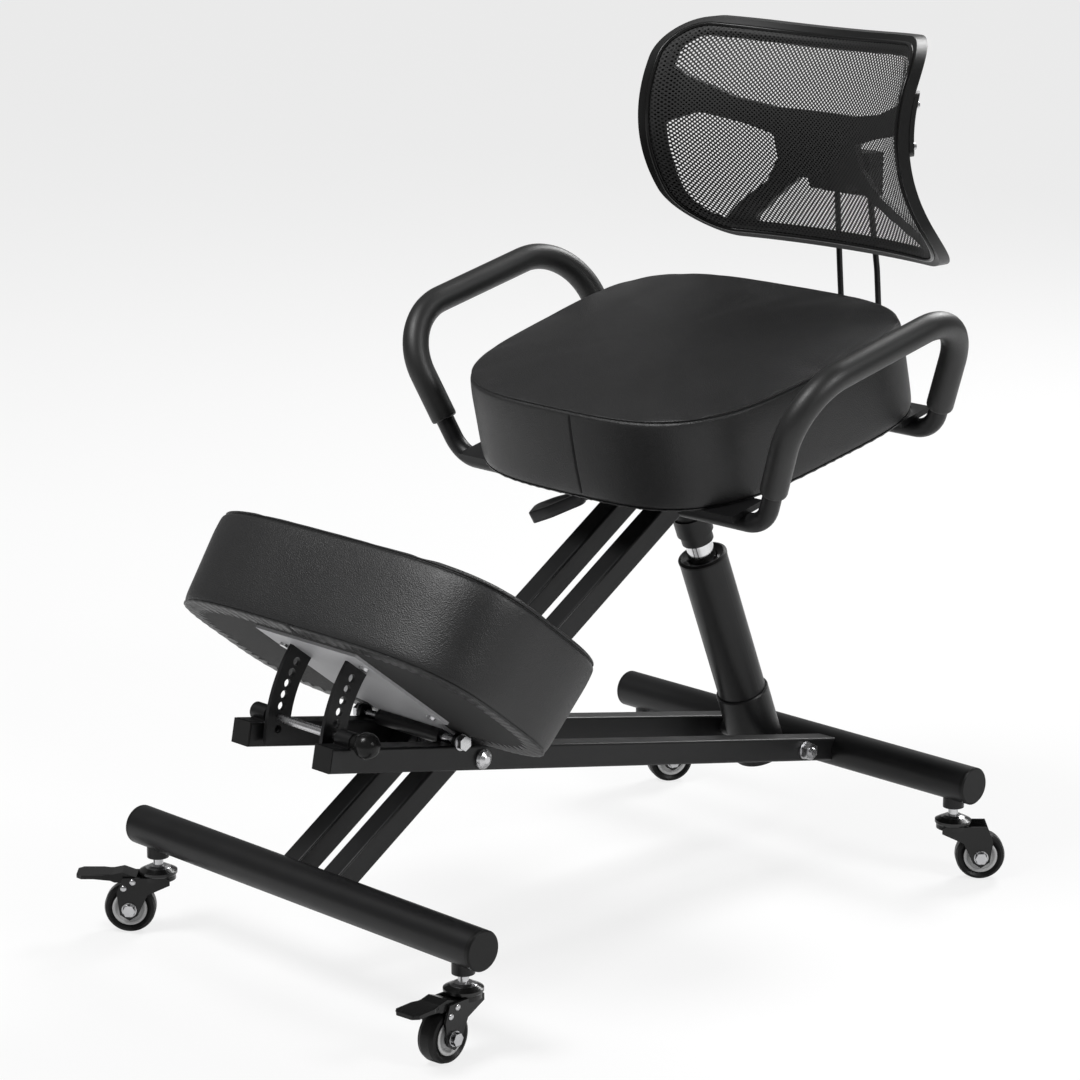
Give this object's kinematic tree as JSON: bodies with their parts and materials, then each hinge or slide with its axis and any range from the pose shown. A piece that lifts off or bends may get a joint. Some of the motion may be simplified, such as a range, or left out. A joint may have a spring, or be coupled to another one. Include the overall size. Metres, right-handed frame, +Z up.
{
  "type": "kneeling chair",
  "caption": "Kneeling chair with tilted seat and knee pads, gas lift on a scissor frame, armrest loops, mesh backrest and casters.",
  "frame": {"origin": "on the floor under the middle of the chair's bounding box", "axes": "+Z up, the sitter faces -Y, +X to the sitter's left"},
  "size_m": [0.576, 0.8534, 0.8472],
  "materials": {
    "black_steel": "satin powder coat",
    "grey_steel": "satin grey",
    "zinc_steel": "bright zinc",
    "chrome": "polished",
    "black_plastic": "fine grain",
    "brake_plastic": "satin",
    "hub_plastic": "satin",
    "tyre": "matte",
    "vinyl": "fine grained",
    "plywood": "raw",
    "foam_grip": "matte foam",
    "mesh": "open weave"
  },
  "bodies": {
    "base": {"base_rail_left": "black_steel", "base_rail_right": "black_steel", "rail_plugs": "black_plastic", "rear_foot_bar": "black_steel", "rear_bar_caps": "black_plastic", "scissor_bolt": "zinc_steel", "pivot_spacers": "black_steel", "socket_bolt": "zinc_steel", "knee_bolt": "zinc_steel", "rear_caster_mounts": "zinc_steel"},
    "front_leg": {"leg_rail_left": "black_steel", "leg_rail_right": "black_steel", "front_foot_bar": "black_steel", "front_bar_caps": "black_plastic", "front_caster_mounts": "zinc_steel", "seat_pivot_bolt": "zinc_steel"},
    "gas_column": {"gas_socket": "black_steel", "gas_outer_tube": "black_steel", "gas_guide_bush": "black_plastic", "gas_piston_rod": "zinc_steel"},
    "seat": {"seat_cushion": "vinyl", "seat_board": "plywood", "seat_mechanism": "black_steel", "gas_cylinder": "chrome", "armrest_left": "black_steel", "armrest_right": "black_steel", "armrest_grip_left": "foam_grip", "armrest_grip_right": "foam_grip", "seat_bolts": "zinc_steel", "back_rods": "black_steel", "back_support": "black_plastic", "back_frame": "black_plastic", "back_mesh": "mesh", "back_screws": "zinc_steel"},
    "valve": {"valve_button": "black_plastic"},
    "lever": {"lever_rod": "black_steel", "lever_paddle": "black_plastic"},
    "knee_pad": {"knee_cushion": "vinyl", "knee_board": "plywood", "knee_plate": "grey_steel", "knee_adjuster_left": "black_steel", "knee_adjuster_right": "black_steel", "knee_pivot_tube": "black_steel", "knee_screws": "zinc_steel"},
    "lock": {"lock_pin": "zinc_steel", "lock_pin_knob": "black_plastic"},
    "swivel_front_left": {"caster_fork_front_left": "black_steel"},
    "wheel_front_left": {"caster_front_left_tyre": "tyre", "caster_front_left_hub": "hub_plastic"},
    "brake_front_left": {"brake_pedal_front_left": "brake_plastic"},
    "swivel_front_right": {"caster_fork_front_right": "black_steel"},
    "wheel_front_right": {"caster_front_right_tyre": "tyre", "caster_front_right_hub": "hub_plastic"},
    "brake_front_right": {"brake_pedal_front_right": "brake_plastic"},
    "swivel_rear_left": {"caster_fork_rear_left": "black_steel"},
    "wheel_rear_left": {"caster_rear_left_tyre": "tyre", "caster_rear_left_hub": "hub_plastic"},
    "swivel_rear_right": {"caster_fork_rear_right": "black_steel"},
    "wheel_rear_right": {"caster_rear_right_tyre": "tyre", "caster_rear_right_hub": "hub_plastic"}
  },
  "joints": [
    {"name": "scissor", "type": "hinge", "parent": "base", "child": "front_leg", "pos_m": [0, -0.18385, 0.20479], "axis": [1, 0, 0], "range_deg": [-2, 11]},
    {"name": "column_swing", "type": "hinge", "parent": "base", "child": "gas_column", "pos_m": [0, 0.27088, 0.1144], "axis": [1, 0, 0], "range_deg": [-0.7, 3]},
    {"name": "seat_slide", "type": "slide", "parent": "gas_column", "child": "seat", "axis": [0, -0.3722, 0.9282], "range_m": [-0.0135, 0.07]},
    {"name": "lever_tilt", "type": "hinge", "parent": "seat", "child": "lever", "pos_m": [-0.023, 0.15439, 0.40492], "axis": [0, 0.9282, 0.3722], "range_deg": [0, 8], "stiffness_Nm_per_rad": 1.5, "springref_deg": -5.73},
    {"name": "valve_press", "type": "slide", "parent": "seat", "child": "valve", "axis": [0, 0.3722, -0.9282], "range_m": [0, 0.0034]},
    {"name": "knee_tilt", "type": "hinge", "parent": "base", "child": "knee_pad", "pos_m": [0, -0.211, 0.22678], "axis": [1, 0, 0], "range_deg": [-4.7, 23.5]},
    {"name": "lock_pull", "type": "slide", "parent": "base", "child": "lock", "axis": [1, 0, 0], "range_m": [0, 0.105]},
    {"name": "swivel_front_left", "type": "hinge", "parent": "front_leg", "child": "swivel_front_left", "pos_m": [0.2189, -0.3472, 0.06], "axis": [0, 0, 1], "continuous": true},
    {"name": "spin_front_left", "type": "hinge", "parent": "swivel_front_left", "child": "wheel_front_left", "pos_m": [0.22183, -0.37505, 0.025], "axis": [-0.9945, -0.1045, 0], "continuous": true},
    {"name": "brake_front_left", "type": "hinge", "parent": "swivel_front_left", "child": "brake_front_left", "pos_m": [0.22141, -0.37107, 0.0535], "axis": [0.9945, 0.1045, 0], "range_deg": [0, 12]},
    {"name": "swivel_front_right", "type": "hinge", "parent": "front_leg", "child": "swivel_front_right", "pos_m": [-0.2189, -0.3472, 0.06], "axis": [0, 0, 1], "continuous": true},
    {"name": "spin_front_right", "type": "hinge", "parent": "swivel_front_right", "child": "wheel_front_right", "pos_m": [-0.23835, -0.36734, 0.025], "axis": [-0.7193, 0.6947, 0], "continuous": true},
    {"name": "brake_front_right", "type": "hinge", "parent": "swivel_front_right", "child": "brake_front_right", "pos_m": [-0.23557, -0.36446, 0.0535], "axis": [0.7193, -0.6947, 0], "range_deg": [0, 12]},
    {"name": "swivel_rear_left", "type": "hinge", "parent": "base", "child": "swivel_rear_left", "pos_m": [0.2189, 0.3304, 0.06], "axis": [0, 0, 1], "continuous": true},
    {"name": "spin_rear_left", "type": "hinge", "parent": "swivel_rear_left", "child": "wheel_rear_left", "pos_m": [0.23835, 0.35054, 0.025], "axis": [0.7193, -0.6947, 0], "continuous": true},
    {"name": "swivel_rear_right", "type": "hinge", "parent": "base", "child": "swivel_rear_right", "pos_m": [-0.2189, 0.3304, 0.06], "axis": [0, 0, 1], "continuous": true},
    {"name": "spin_rear_right", "type": "hinge", "parent": "swivel_rear_right", "child": "wheel_rear_right", "pos_m": [-0.20575, 0.35512, 0.025], "axis": [0.8829, -0.4695, 0], "continuous": true}
  ],
  "couplings": [
    {"joint": "column_swing", "follows": "scissor", "ratio": 0.2565},
    {"joint": "seat_slide", "follows": "scissor", "m_per_rad": 0.3565},
    {"joint": "valve_press", "follows": "lever_tilt", "m_per_rad": 0.023}
  ]
}
